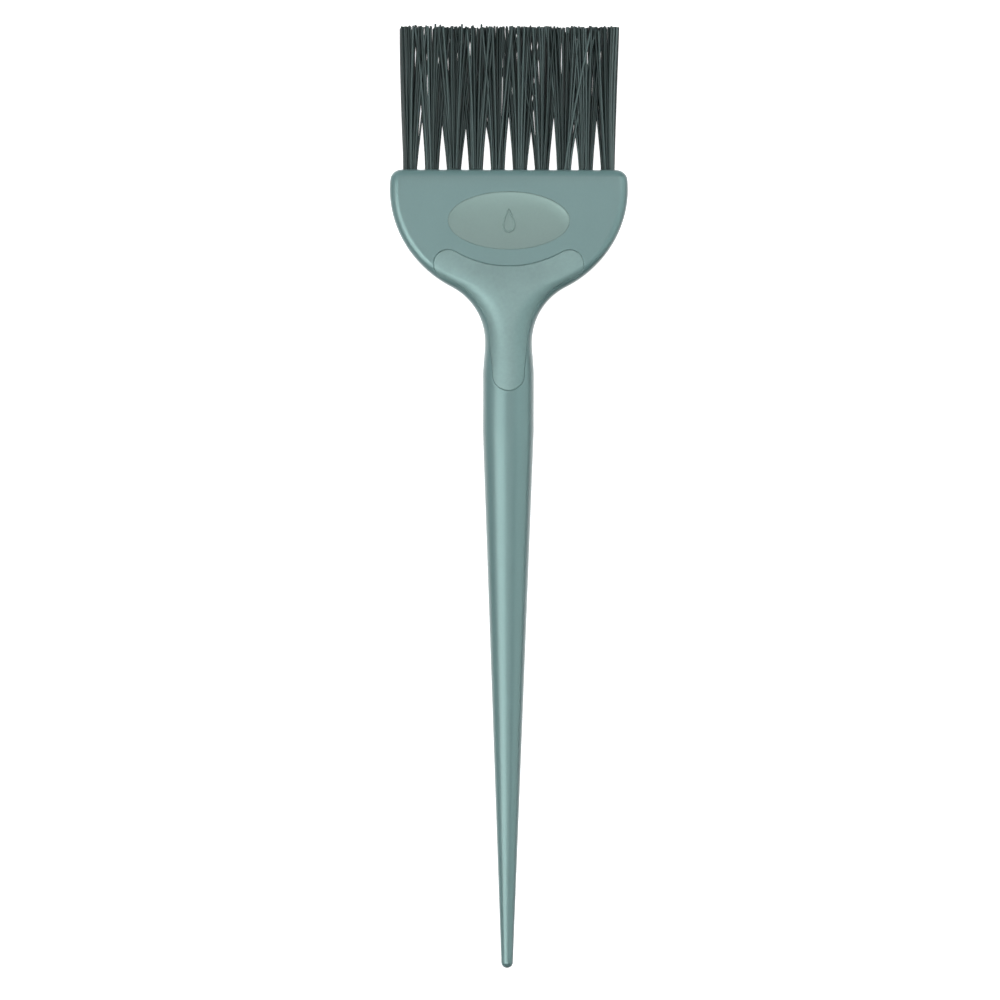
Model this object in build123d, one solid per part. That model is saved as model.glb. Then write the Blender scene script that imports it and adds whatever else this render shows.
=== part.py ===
from build123d import *
import math
import os

# Tint brush for hair colour, lying on its back. +X runs across the head, +Y towards the bristle
# tips and +Z out of the front face. Millimetres. Everything is drawn about the middle of the
# mouth, the end face where the tufts leave the head, with "drop" as the distance below it
# towards the tail. The last step moves it so that the origin is under the middle of the brush,
# on the surface it lies on.

# ---- Overall sizes ----
overall_length = 220.0
head_width = 55.5
head_thickness = 7.0
bristle_length = 34.0  # free length of the filaments, from the mouth to their trimmed ends

# ---- Head: an ellipse cut off by the mouth, which flares into the neck ----
shoulder_drop = 4.5  # where the head is widest
head_bow = 26.0  # from the widest place down to the foot of the ellipse
corner_radius = 2.3  # the head's two corners, seen from the front
rim_radius = 2.2  # the rounded rim, all the way round the head
flare_radius = 14.3  # hollow curve between head and neck
plate_end_angle = 26.5  # the flat plate ends inside the neck, this far up the hollow curve

# ---- Handle ----
neck_width = 11.0
neck_depth = 9.2
belly_width = 11.9
belly_depth = 10.0
belly_start = 8.0  # from the neck down to where the belly reaches its full width
belly_length = 13.0
tail_diameter = 2.76
boss_margin = 2.2  # the neck's boss starts this far inside the head's edge
boss_rise = 0.9  # how far it stands above the head's face where the plate ends
boss_sink = 0.6  # its top end is buried this deep in the head
boss_overlap = 0.12  # how far it reaches past the plate's side, where the plate ends
neck_squareness = 3.0  # 2 is a plain ellipse, and more is squarer
belly_squareness = 2.2
belly_sections = 3
taper_sections = 8
tail_angles = (30, 55, 75)  # sections round the tail's ball end, in degrees past its side
section_points = 32
halvings = 60  # steps in the search for the flare's tangent point

# ---- Tufts: filaments folded in half over a flat wire anchor, in a row of blind holes ----
tuft_count = 10
hole_diameter = 3.2
hole_depth = 10.0
tuft_edge_margin = 3.1  # from the head's side to the nearest hole
tuft_clearance = 0.05  # between a tuft's foot and its hole, all round
tuft_gap = 0.3  # between two tufts' tips
tip_depth = 7.6  # front to back across the fanned tips
anchor_height = 1.6
anchor_thickness = 0.4
anchor_bite = 0.35  # how far each end is driven into the hole's wall
anchor_lift = 1.2  # from the bottom of the hole to the anchor

# ---- Bending: the tufts turn about one line a little above the mouth ----
hinge_ratio = 0.15  # height of the line, as a share of the free length
hinge_clearance = 0.3  # between a tuft's foot and the part that bends

# ---- Soft grip: front and rear pads in one shot, joined through the head and neck ----
pad_depth = 0.9  # below the head's face
pad_band = 1.15  # strip of hard plastic left between the pad and the head's edge
pad_width = 35.0  # across both lobes
pad_lobe_radius = 3.4
pad_top_drop = 22.5  # the pad's hollow top edge, on the centre line
pad_end_drop = 51.5
pad_end_radius = 3.7
pad_seam = 0.12  # groove round the pad
peg_diameter = 3.0

# ---- Oval badge, set into the front face ----
badge_drop = 11.9
badge_width = 28.4
badge_height = 13.5
badge_thickness = 0.8
badge_seam = 0.1  # groove round the badge
badge_peg_diameter = 2.0
badge_peg_length = 0.7
badge_peg_spacing = 18.0
badge_peg_clearance = 0.05

# ---- What follows from those sizes ----
half_thickness = head_thickness / 2
tail_end_drop = overall_length - bristle_length
hinge_height = hinge_ratio * bristle_length
tuft_pitch = (head_width - 2 * tuft_edge_margin - hole_diameter) / (tuft_count - 1)
tuft_diameter = hole_diameter - 2 * tuft_clearance
tuft_x = [(i - (tuft_count - 1) / 2) * tuft_pitch for i in range(tuft_count)]
through = 2 * max(belly_depth, head_thickness, neck_depth)  # longer than the brush is thick


def on_circle(centre, radius, degrees):
    """The point of a circle at an angle counted from +X."""
    turn = math.radians(degrees)
    return (centre[0] + radius * math.cos(turn), centre[1] + radius * math.sin(turn))


def arc(centre, radius, start, end):
    """The arc of a circle from one angle to another."""
    angles = (start, (start + end) / 2, end)
    return ThreePointArc(*[on_circle(centre, radius, a) for a in angles])


def heading(start, end):
    """The angle of the line from one point to another, in degrees."""
    return math.degrees(math.atan2(end[1] - start[1], end[0] - start[0]))


def flare_tangent():
    """Where the hollow curve leaves the head's ellipse: the ellipse's angle there, and the
    centre of the curve, which also touches the neck's side."""
    wide, tall = head_width / 2, head_bow
    low, high = -math.pi / 2, 0.0
    for _ in range(halvings):
        t = (low + high) / 2
        normal = math.hypot(tall * math.cos(t), wide * math.sin(t))
        x = wide * math.cos(t) + flare_radius * tall * math.cos(t) / normal
        y = tall * math.sin(t) + flare_radius * wide * math.sin(t) / normal
        if x > neck_width / 2 + flare_radius:
            high = t
        else:
            low = t
    return math.degrees(t), (x, y - shoulder_drop)


ellipse_end, flare_centre = flare_tangent()
ellipse_start = math.degrees(math.asin(shoulder_drop / head_bow))
neck_drop = -flare_centre[1]
plate_end_drop = neck_drop - flare_radius * math.sin(math.radians(plate_end_angle))


def flare_half_width(drop):
    """Half the width between the two hollow curves, at a place above the neck."""
    return flare_centre[0] - math.sqrt(flare_radius**2 - (neck_drop - drop) ** 2)


def mirrored_face(half):
    """The face inside half an outline and its mirror image across the centre line."""
    edges = half + [edge.mirror(Plane.YZ) for edge in half]
    return make_face(Wire.combine(edges)[0].edges())


def head_plate():
    """The flat head with its rounded rim, down to where it ends inside the neck."""
    side = EllipticalCenterArc(
        (0, -shoulder_drop),
        head_width / 2,
        head_bow,
        start_angle=ellipse_start,
        arc_size=ellipse_end - ellipse_start,
    )
    widest_up = max(side @ 0, side @ 1, key=lambda p: p.Y)
    tangent = min(side @ 0, side @ 1, key=lambda p: p.Y)
    flare = arc(
        flare_centre,
        flare_radius,
        heading(flare_centre, (tangent.X, tangent.Y)),
        180 - plate_end_angle,
    )
    half = [
        Line((0, 0), widest_up),
        side,
        flare,
        Line(flare @ 1, (0, -plate_end_drop)),
    ]
    plate = extrude(mirrored_face(half), amount=half_thickness, both=True)
    upright = plate.edges().filter_by(Axis.Z)
    corners = upright.filter_by(lambda e: abs(e.center().Y) < corner_radius)
    plate = fillet(corners, corner_radius)
    around = [
        e
        for face in plate.faces().filter_by(Axis.Z)
        for e in face.edges()
        if abs(e.center().Y + plate_end_drop) > rim_radius / 2
    ]
    return fillet(around, rim_radius)


def core_section(drop, half_width, half_depth, squareness):
    """A section across the brush: an ellipse, or a squarer curve of the same size."""
    points = []
    for i in range(section_points):
        turn = 2 * math.pi * i / section_points
        x, z = math.cos(turn), math.sin(turn)
        x = math.copysign(abs(x) ** (2 / squareness), x)
        z = math.copysign(abs(z) ** (2 / squareness), z)
        points.append((half_width * x, -drop, half_depth * z))
    return make_face(Spline(*points, periodic=True))


def handle_core():
    """The boss on the head, the neck and the long tapered handle with its rounded tail."""
    boss_drop = (pad_top_drop + plate_end_drop) / 2
    boss_top = pad_top_drop - rim_radius
    swell = neck_drop + belly_start
    taper_start = swell + belly_length
    tail_radius = tail_diameter / 2
    taper_length = tail_end_drop - tail_radius - taper_start
    wide, deep = belly_width / 2, belly_depth / 2
    sections = [
        core_section(boss_top, flare_half_width(boss_drop), half_thickness - boss_sink, 2),
        core_section(
            boss_drop,
            flare_half_width(boss_drop) - boss_margin,
            half_thickness + boss_rise / 2,
            2,
        ),
        core_section(
            plate_end_drop,
            flare_half_width(plate_end_drop) + boss_overlap,
            half_thickness + boss_rise,
            neck_squareness,
        ),
        core_section(neck_drop, neck_width / 2, neck_depth / 2, neck_squareness),
    ]
    for i in range(belly_sections):
        drop = swell + belly_length * i / belly_sections
        sections.append(core_section(drop, wide, deep, belly_squareness))
    for i in range(taper_sections + 1):
        share = i / taper_sections
        sections.append(
            core_section(
                taper_start + share * taper_length,
                wide + share * (tail_radius - wide),
                deep + share * (tail_radius - deep),
                belly_squareness + share * (2 - belly_squareness),
            )
        )
    for angle in tail_angles:
        reach, radius = on_circle((0, 0), tail_radius, 90 - angle)
        sections.append(core_section(tail_end_drop - tail_radius + reach, radius, radius, 2))
    return loft(sections)


def pad_lobe_centre():
    """The middle of the pad's right lobe, which touches the band beside the hollow curve."""
    x = pad_width / 2 - pad_lobe_radius
    reach = flare_radius + pad_band + pad_lobe_radius
    return (x, flare_centre[1] + math.sqrt(reach**2 - (flare_centre[0] - x) ** 2))


def pad_top_centre(lobe):
    """The centre of the pad's hollow top edge, which touches both lobes."""
    foot = pad_top_drop + pad_lobe_radius
    drop = (foot**2 - lobe[0] ** 2 - lobe[1] ** 2) / (2 * (foot + lobe[1]))
    return (0, -drop)


def pad_face(seam):
    """The grip pad's outline, pulled in by the width of the seam."""
    lobe = pad_lobe_centre()
    top_centre = pad_top_centre(lobe)
    top_radius = pad_top_drop + top_centre[1] + seam
    band_radius = flare_radius + pad_band + seam
    lobe_radius = pad_lobe_radius - seam
    end_radius = pad_end_radius - seam
    end_centre = (0, pad_end_radius - pad_end_drop)
    lobe_to_band = heading(lobe, flare_centre)
    side_top = on_circle(flare_centre, band_radius, 180)
    half = [
        arc(top_centre, top_radius, -90, heading(top_centre, lobe)),
        arc(lobe, lobe_radius, heading(lobe, top_centre), lobe_to_band),
        arc(flare_centre, band_radius, lobe_to_band + 180, 180),
        Spline(side_top, (end_radius, end_centre[1]), tangents=((0, -1), (0, -1))),
        arc(end_centre, end_radius, 0, -90),
    ]
    return mirrored_face(half)


def pad_prisms(seam):
    """The space of the front and rear pads, from their floors outwards."""
    prism = extrude(pad_face(seam), amount=through)
    front = Pos(0, 0, half_thickness - pad_depth) * prism
    return front + front.mirror(Plane.XY)


def pad_pegs():
    """The three pegs that join the front pad to the rear pad."""
    lobe = pad_lobe_centre()
    places = [lobe, (-lobe[0], lobe[1]), (0, pad_end_radius - pad_end_drop)]
    length = head_thickness - pad_depth
    return [Pos(x, y, 0) * Cylinder(peg_diameter / 2, length) for x, y in places]


def badge_blank(seam, clearance):
    """The badge's space, or with its seam and clearance the badge itself."""
    oval = Ellipse(badge_width / 2 - seam, badge_height / 2 - seam)
    plate = extrude(oval, amount=badge_thickness)
    blank = Pos(0, -badge_drop, half_thickness - badge_thickness) * plate
    for x in (-badge_peg_spacing / 2, badge_peg_spacing / 2):
        middle = half_thickness - badge_thickness - badge_peg_length / 2
        peg = Cylinder(badge_peg_diameter / 2 - clearance, badge_peg_length)
        blank += Pos(x, -badge_drop, middle) * peg
    return blank


def anchor(x):
    """A flat wire anchor, lying across its hole with both ends driven into the walls."""
    wire = Box(hole_diameter + 2 * anchor_bite, anchor_height, anchor_thickness)
    return Pos(x, anchor_lift + anchor_height / 2 - hole_depth, 0) * wire


def along_y(radius, start, end):
    """A cylinder along +Y from one place to another."""
    solid = Rot(-90, 0, 0) * Cylinder(radius, end - start)
    return Pos(0, (start + end) / 2, 0) * solid


def tuft_foot(x):
    """The folded end of a tuft, from the bottom of its hole to just above the mouth."""
    top = hinge_height - tuft_diameter / 2 - hinge_clearance
    foot = Pos(x, 0, 0) * along_y(tuft_diameter / 2, -hole_depth, top)
    return foot - anchor(x)


def tuft(x):
    """The free part of a tuft, which fans out towards its tip and ends in a ball on the line
    that it bends about."""
    radius = tuft_diameter / 2
    across = Plane.XZ
    root = Pos(0, hinge_height, 0) * (across * Circle(radius))
    tip_radii = ((tuft_pitch - tuft_gap) / 2, tip_depth / 2)
    tip = Pos(0, bristle_length, 0) * (across * Ellipse(*tip_radii))
    ball = Pos(0, hinge_height, 0) * Sphere(radius)
    return Pos(x, 0, 0) * (loft([root, tip], ruled=True) + ball)


def handle_body(blank):
    """The one-piece head and handle, with its holes and the pockets of what is set into it."""
    body = blank - pad_prisms(0) - badge_blank(0, 0)
    for peg in pad_pegs():
        body -= peg
    for x in tuft_x:
        body -= Pos(x, 0, 0) * along_y(hole_diameter / 2, -hole_depth, rim_radius)
        body -= anchor(x)
    return body


def soft_grip(blank):
    """The soft pads, flush with the surface around them, and the pegs between them."""
    grip = blank & pad_prisms(pad_seam)
    for peg in pad_pegs():
        grip += peg
    return grip


def build():
    """Makes every piece and writes it, lying on its surface, to a file of its own."""
    blank = head_plate() + handle_core()
    pieces = {
        "handle_body": handle_body(blank),
        "soft_grip": soft_grip(blank),
        "badge": badge_blank(badge_seam, badge_peg_clearance),
    }
    for number, x in enumerate(tuft_x, start=1):
        pieces[f"tuft_foot_{number:02d}"] = tuft_foot(x)
        pieces[f"tuft_anchor_{number:02d}"] = anchor(x)
        pieces[f"tuft_{number:02d}"] = tuft(x)
    boxes = [piece.bounding_box() for piece in pieces.values()]
    tail, tips = min(box.min.Y for box in boxes), max(box.max.Y for box in boxes)
    place = Pos(0, -(tail + tips) / 2, -min(box.min.Z for box in boxes))
    os.makedirs("parts", exist_ok=True)
    for node, piece in pieces.items():
        export_step(place * piece, f"parts/{node}.step")


build()
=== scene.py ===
import math
import random

import bmesh
import bpy
from bpy.props import FloatProperty, FloatVectorProperty, IntProperty, PointerProperty
from mathutils import Matrix, Vector
from mathutils.kdtree import KDTree


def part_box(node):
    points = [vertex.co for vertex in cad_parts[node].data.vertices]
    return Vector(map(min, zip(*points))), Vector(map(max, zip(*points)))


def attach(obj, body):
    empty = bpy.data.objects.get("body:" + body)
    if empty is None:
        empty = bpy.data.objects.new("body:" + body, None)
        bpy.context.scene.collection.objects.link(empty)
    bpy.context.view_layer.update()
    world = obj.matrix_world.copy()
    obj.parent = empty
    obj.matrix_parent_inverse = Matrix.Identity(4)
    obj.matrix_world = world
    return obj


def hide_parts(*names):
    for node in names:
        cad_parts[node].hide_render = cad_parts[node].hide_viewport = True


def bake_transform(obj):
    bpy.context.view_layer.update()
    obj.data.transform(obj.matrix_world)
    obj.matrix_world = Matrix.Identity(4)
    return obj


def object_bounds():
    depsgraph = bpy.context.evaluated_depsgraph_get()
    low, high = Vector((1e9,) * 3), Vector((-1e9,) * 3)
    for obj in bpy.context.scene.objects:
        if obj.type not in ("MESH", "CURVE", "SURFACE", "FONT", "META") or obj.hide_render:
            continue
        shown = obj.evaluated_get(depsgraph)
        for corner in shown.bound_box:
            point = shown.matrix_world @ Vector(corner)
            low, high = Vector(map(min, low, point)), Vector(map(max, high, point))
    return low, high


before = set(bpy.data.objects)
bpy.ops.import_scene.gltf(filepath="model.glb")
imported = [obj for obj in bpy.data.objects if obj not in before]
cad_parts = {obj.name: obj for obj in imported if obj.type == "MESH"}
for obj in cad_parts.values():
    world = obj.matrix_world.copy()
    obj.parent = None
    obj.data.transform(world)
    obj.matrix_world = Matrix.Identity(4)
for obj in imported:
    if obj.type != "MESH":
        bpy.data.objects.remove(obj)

bl_info = {
    "name": "Tint Brush",
    "version": (1, 0, 0),
    "blender": (4, 5, 0),
    "location": "3D View > Sidebar > Tint Brush",
    "description": "Builds a hair tint brush: body, soft grip, badge, tufts and stage",
    "category": "Add Mesh",
}

# The brush lies on its back: +X across the head, +Y towards the bristle tips, +Z out of the front.
# "Drop" is the distance below the mouth, the end face that the tufts come out of.
CAD_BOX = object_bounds()
BODY_LOW, BODY_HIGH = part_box("handle_body")
MOUTH_Y = BODY_HIGH.y
LENGTH = BODY_HIGH.y - BODY_LOW.y
MID_Z = (BODY_LOW.z + BODY_HIGH.z) / 2
HEAD_WIDTH = BODY_HIGH.x - BODY_LOW.x
BELLY_DEPTH = BODY_HIGH.z - BODY_LOW.z
TIP_Y = CAD_BOX[1].y
TUFT_COUNT = sum(name.startswith("tuft_foot_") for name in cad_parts)
ALONG_Y = Matrix.Rotation(math.radians(-90), 4, "X")  # turns a shape's own Z to +Y
SMOOTH_ANGLE = math.radians(32)
PEG_CLEARANCE = 0.00003  # round each peg in its hole
PEG_SEGMENTS = 28
OVAL_SEGMENTS = 128


# ---- The sizes and colours that a user would change ----

def metres(name, description, default):
    """A size."""
    return FloatProperty(name=name, description=description, default=default, unit="LENGTH")


def watts(name, description, default):
    """The strength of a lamp."""
    return FloatProperty(name=name, description=description, default=default, unit="POWER")


def paint(name, description, default):
    """A colour, in linear light."""
    return FloatVectorProperty(
        name=name, description=description, default=default, subtype="COLOR", size=3)


class BodySizes(bpy.types.PropertyGroup):
    """The one-piece head and handle."""

    head_thickness: metres("Head thickness", "Front to back", 0.007)
    shoulder_drop: metres("Shoulder drop", "Where the head is widest", 0.0045)
    head_bow: metres("Head bow", "From the widest place to the foot of the ellipse", 0.026)
    corner_radius: metres("Corner radius", "The head's two corners", 0.0023)
    rim_radius: metres("Rim radius", "The rounded rim of the head", 0.0022)
    flare_radius: metres("Flare radius", "The hollow curve from head to neck", 0.0143)
    neck_width: metres("Neck width", "At the foot of the hollow curve", 0.011)
    belly_width: metres("Belly width", "The thickest part of the handle", 0.0119)
    belly_start: metres("Belly start", "From the neck to the full width", 0.008)
    belly_length: metres("Belly length", "How far the full width runs", 0.013)
    tail_diameter: metres("Tail diameter", "Where the ball end starts", 0.00276)
    swell_start: metres(
        "Swell start", "Drop at which the flat head starts to turn into the neck", 0.021)
    ring_points: IntProperty(
        name="Ring points", description="Points round one section", default=160, min=32)
    corner_share: FloatProperty(
        name="Corner share", description="Share of a section's points that go by its turn",
        default=0.5, subtype="FACTOR", min=0, max=1)


class GripSizes(bpy.types.PropertyGroup):
    """The soft pads, front and rear, with the pegs that join them."""

    depth: metres("Depth", "Floor of the pad, below the head's face", 0.0009)
    band: metres("Band", "Hard plastic between the pad and the edge", 0.00115)
    width: metres("Width", "Across both lobes", 0.035)
    lobe_radius: metres("Lobe radius", "The round end of each arm", 0.0034)
    top_drop: metres("Top drop", "The hollow top edge on the centre line", 0.0225)
    end_drop: metres("End drop", "The round lower end", 0.0515)
    end_radius: metres("End radius", "Radius of the lower end", 0.0037)
    seam: metres("Seam", "Gap between the pad and its pocket", 0.00006)
    groove: metres("Groove", "Radius of the rounded groove along the seam", 0.00014)
    peg_diameter: metres("Peg diameter", "The pegs through the head", 0.003)
    crown: FloatProperty(
        name="Crown", description="How far the pad swells above its edge, as a share of the "
        "room below the belly's height", default=0.2, subtype="FACTOR", min=0, max=0.5)
    dome: FloatProperty(
        name="Dome", description="Further share of that room, towards the middle of the head",
        default=0.6, subtype="FACTOR", min=0, max=0.8)
    crown_reach: metres("Crown reach", "How soon the swelling is reached", 0.0022)


class BadgeSizes(bpy.types.PropertyGroup):
    """The oval inset with its dished face and drop ornament."""

    drop: metres("Drop", "Centre of the badge below the mouth", 0.0119)
    width: metres("Width", "Pocket across the head", 0.0284)
    height: metres("Height", "Pocket along the brush", 0.0135)
    thickness: metres("Thickness", "Depth of the pocket", 0.0008)
    seam: metres("Seam", "Gap round the badge", 0.00002)
    lip: metres("Lip", "Radius of the rounded lip round the face", 0.00006)
    dish: metres("Dish", "How far the face is hollowed", 0.00052)
    dish_reach: metres("Dish reach", "How soon the hollow is reached", 0.0024)
    peg_diameter: metres("Peg diameter", "The two pegs behind it", 0.002)
    peg_length: metres("Peg length", "How deep the pegs go", 0.0007)
    peg_spacing: metres("Peg spacing", "Between the two pegs", 0.018)
    ornament: metres("Ornament", "Height of the raised drop", 0.0052)


class TuftSizes(bpy.types.PropertyGroup):
    """The filaments and how they fan out."""

    hole_diameter: metres("Hole diameter", "The holes in the mouth", 0.0032)
    hole_depth: metres("Hole depth", "Below the mouth", 0.01)
    filament_diameter: metres("Filament diameter", "One nylon filament", 0.00049)
    rings: IntProperty(
        name="Rings", description="Rings of filaments round the middle one", default=3, min=1)
    fan: FloatProperty(
        name="Fan", description="How much wider a tuft is at its tip, across", default=3.3, min=1)
    fan_deep: FloatProperty(
        name="Fan, front to back", description="How much deeper a tuft is at its tip",
        default=1.9, min=1)
    waver: metres("Waver", "Uneven lean of each filament's tip", 0.0003)
    stray_share: FloatProperty(
        name="Stray share", description="Share of filaments that lean out of line", default=0.15,
        subtype="FACTOR", min=0, max=1)
    stray_lean: metres("Stray lean", "How far the tip of a stray leans", 0.0026)
    trim: metres("Trim", "Unevenness of the trimmed ends", 0.00028)
    seed: IntProperty(name="Seed", description="Start of the random draws", default=36)


class Finishes(bpy.types.PropertyGroup):
    """The colours of the brush's materials."""

    plastic: paint("Plastic", "Head and handle", (0.158, 0.272, 0.272))
    grip: paint("Grip", "Soft pads", (0.164, 0.274, 0.271))
    badge: paint("Badge", "Oval inset", (0.182, 0.276, 0.258))
    filament_dark: paint("Filament, dark", "The darkest filaments", (0.0030, 0.0085, 0.0088))
    filament_light: paint("Filament, light", "The lightest filaments", (0.062, 0.096, 0.096))
    wire: paint("Wire", "Brass anchors", (0.72, 0.52, 0.25))
    floor: paint("Floor", "Pale floor", (0.62, 0.62, 0.62))


class StageSizes(bpy.types.PropertyGroup):
    """Lights, floor and camera."""

    sky_power: watts("Sky power", "Even light from overhead", 4.9)
    side_power: watts("Side power", "Even light from the left", 2.4)
    key_power: watts("Key power", "Long sheen on the left", 9.6)
    right_power: watts("Right power", "Broad weak sheen on the right", 7.6)
    head_power: watts("Head power", "Sheen on the right rim of the head", 1.6)
    foot_power: watts("Foot power", "Sheen from beyond the tail", 24.0)
    sheen_tint: paint(
        "Sheen tint", "Colour of the lights that show in reflections", (0.81, 1.0, 0.96))
    horizon: FloatProperty(
        name="Horizon", description="Brightness of the room overhead and at eye level",
        default=0.07)
    table: FloatProperty(
        name="Table", description="Brightness of the white table below", default=2.0)
    floor_glow: FloatProperty(
        name="Floor glow", description="Light that the floor gives by itself", default=0.97)
    camera_height: metres("Camera height", "Above the brush", 1.5)
    view_width: metres("View width", "What the view takes in", 0.233)
    view_x: metres("View X", "Middle of the view across the brush", -0.0019)
    view_y: metres("View Y", "Middle of the view along the brush", -0.00093)
    roll: FloatProperty(
        name="Roll", description="Turn of the camera about its own axis",
        default=math.radians(0.13), unit="ROTATION")


class TintBrushSettings(bpy.types.PropertyGroup):
    """Everything the operators read."""

    body: PointerProperty(type=BodySizes)
    grip: PointerProperty(type=GripSizes)
    badge: PointerProperty(type=BadgeSizes)
    tufts: PointerProperty(type=TuftSizes)
    finish: PointerProperty(type=Finishes)
    stage: PointerProperty(type=StageSizes)


def settings():
    """The sizes and colours as they are set now."""
    return bpy.context.scene.tint_brush


# ---- Small helpers ----

def smooth(start, end, value):
    """0 before start, 1 after end, and a soft step between."""
    t = min(max((value - start) / (end - start), 0.0), 1.0)
    return t * t * (3 - 2 * t)


def mix(a, b, share):
    """The value that lies this share of the way from a to b."""
    return a + (b - a) * share


def rounding(radius, reach):
    """How far a rounded edge has come out, at this reach from its start."""
    reach = min(reach, radius)
    return math.sqrt(radius**2 - (radius - reach) ** 2)


def heading(start, end):
    """The angle of the line from one point to another."""
    return math.atan2(end[1] - start[1], end[0] - start[0])


def to_object(name, bm):
    """A new object from the bmesh, with its faces pointing outwards."""
    bmesh.ops.recalc_face_normals(bm, faces=bm.faces)
    mesh = bpy.data.meshes.new(name)
    bm.to_mesh(mesh)
    bm.free()
    obj = bpy.data.objects.new(name, mesh)
    bpy.context.scene.collection.objects.link(obj)
    return obj


def evaluated_mesh(obj):
    """A mesh of the object as its modifiers or its curve make it."""
    graph = bpy.context.evaluated_depsgraph_get()
    return bpy.data.meshes.new_from_object(obj.evaluated_get(graph))


def cut(obj, operation, *shapes):
    """Cuts, joins or intersects obj with the other shapes, which are used up."""
    for shape in shapes:
        modifier = obj.modifiers.new(operation.lower(), "BOOLEAN")
        modifier.operation = operation
        modifier.solver = "MANIFOLD"
        modifier.object = shape
        mesh = evaluated_mesh(obj)
        obj.modifiers.clear()
        obj.data = mesh
        bpy.data.objects.remove(shape)


def next_ring(bm, ring, edges):
    """Draws a ring out once more, and gives the new ring's vertices in order and its edges."""
    grown = bmesh.ops.extrude_edge_only(bm, edges=edges)["geom"]
    fresh = {v for v in grown if isinstance(v, bmesh.types.BMVert)}
    ring = [next(e.other_vert(v) for e in v.link_edges if e.other_vert(v) in fresh)
            for v in ring]
    return ring, [e for e in grown if isinstance(e, bmesh.types.BMEdge)]


def rod(bm, radius, length, place, segments):
    """Adds a closed rod along the Z of its place, which may stretch it to an oval."""
    bmesh.ops.create_cone(bm, cap_ends=True, segments=segments, radius1=radius, radius2=radius,
                          depth=length, matrix=place)


def closed_tube(name, points, radius, resolution):
    """A tube that follows the points and closes on itself."""
    curve = bpy.data.curves.new(name, "CURVE")
    curve.dimensions = "3D"
    curve.bevel_depth = radius
    curve.bevel_resolution = resolution
    spline = curve.splines.new("POLY")
    spline.points.add(len(points) - 1)
    spline.use_cyclic_u = True
    for point, place in zip(spline.points, points):
        point.co = (*place, 1.0)
    line = bpy.data.objects.new(name, curve)
    bpy.context.scene.collection.objects.link(line)
    tube = bpy.data.objects.new(name, evaluated_mesh(line))
    bpy.context.scene.collection.objects.link(tube)
    bpy.data.objects.remove(line)
    return tube


def finish_piece(obj, material, body, slot, *nodes):
    """Smooths, paints and hangs a finished piece on its body."""
    obj.data.shade_smooth()
    obj.data.set_sharp_from_angle(angle=SMOOTH_ANGLE)
    obj.data.materials.clear()
    obj.data.materials.append(material)
    if body:
        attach(obj, body)
    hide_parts(*nodes)


# ---- Materials, each with a name of its own. ----

def node_group(name, inputs, outputs):
    """An empty shader node group with float or colour sockets, and its end nodes."""
    group = bpy.data.node_groups.new(name, "ShaderNodeTree")
    for label, kind, value in inputs:
        socket = group.interface.new_socket(label, in_out="INPUT", socket_type=kind)
        socket.default_value = value
    for label, kind in outputs:
        group.interface.new_socket(label, in_out="OUTPUT", socket_type=kind)
    return group, group.nodes.new("NodeGroupInput"), group.nodes.new("NodeGroupOutput")


def add(tree, kind, links=(), **values):
    """A node with its properties and sockets set, and links into it as {socket: source}."""
    node = tree.nodes.new(kind)
    for key, value in values.items():
        setattr(node, key, value)
    for key, value in dict(links).items():
        if isinstance(value, bpy.types.NodeSocket):
            tree.links.new(value, node.inputs[key])
        else:
            node.inputs[key].default_value = value
    return node


def moulded_grain():
    """Fine texture of a moulded surface: a height and a roughness that wanders with it."""
    group = bpy.data.node_groups.get("moulded_grain")
    if group:
        return group
    group, start, end = node_group(
        "moulded_grain",
        [("Grain Scale", "NodeSocketFloat", 3000.0), ("Wave Scale", "NodeSocketFloat", 300.0),
         ("Wave Share", "NodeSocketFloat", 0.5), ("Roughness", "NodeSocketFloat", 0.35),
         ("Roughness Range", "NodeSocketFloat", 0.08)],
        [("Height", "NodeSocketFloat"), ("Roughness", "NodeSocketFloat")])
    place = add(group, "ShaderNodeTexCoord").outputs["Object"]
    grain = add(group, "ShaderNodeTexNoise",
                {"Vector": place, "Scale": start.outputs["Grain Scale"], "Detail": 3.0})
    wave = add(group, "ShaderNodeTexNoise",
               {"Vector": place, "Scale": start.outputs["Wave Scale"], "Detail": 2.0})
    height = add(group, "ShaderNodeMix", {"Factor": start.outputs["Wave Share"],
                                          "A": grain.outputs["Fac"], "B": wave.outputs["Fac"]})
    swing = add(group, "ShaderNodeMath", {0: wave.outputs["Fac"], 1: 0.5}, operation="SUBTRACT")
    roughness = add(group, "ShaderNodeMath",
                    {0: swing.outputs[0], 1: start.outputs["Roughness Range"],
                     2: start.outputs["Roughness"]}, operation="MULTIPLY_ADD")
    group.links.new(height.outputs["Result"], end.inputs["Height"])
    group.links.new(roughness.outputs[0], end.inputs["Roughness"])
    return group


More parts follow.
